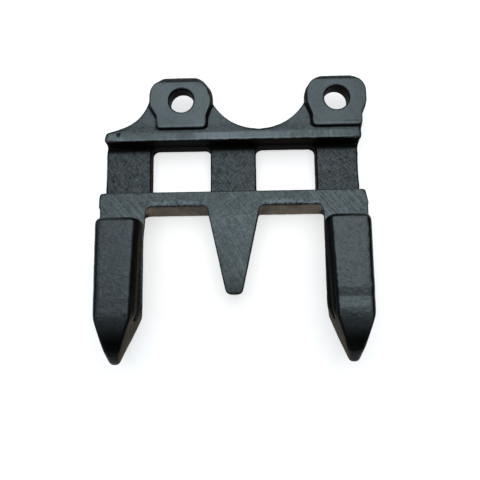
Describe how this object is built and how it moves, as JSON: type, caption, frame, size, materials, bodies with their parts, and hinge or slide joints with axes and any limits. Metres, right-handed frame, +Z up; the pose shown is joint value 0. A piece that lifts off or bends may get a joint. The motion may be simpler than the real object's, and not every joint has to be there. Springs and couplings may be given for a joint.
{
  "type": "mower knife guard",
  "caption": "Forged knife guard for a mower cutter bar: bolt ears behind a knife channel, a ground ledger with a centre tooth, and pointed prongs slotted for the sliding knife.",
  "frame": {"origin": "middle of the footprint, on the flat underside", "axes": "the points face -Y, the bolt ears face +Y, the knife slides along X, +Z is up out of the pads"},
  "size_m": [0.132, 0.1384, 0.0295],
  "materials": {
    "coated_forging": "dark slate satin coat over as-forged skin and ground faces"
  },
  "bodies": {
    "root": {"knife_guard": "coated_forging"}
  },
  "joints": []
}
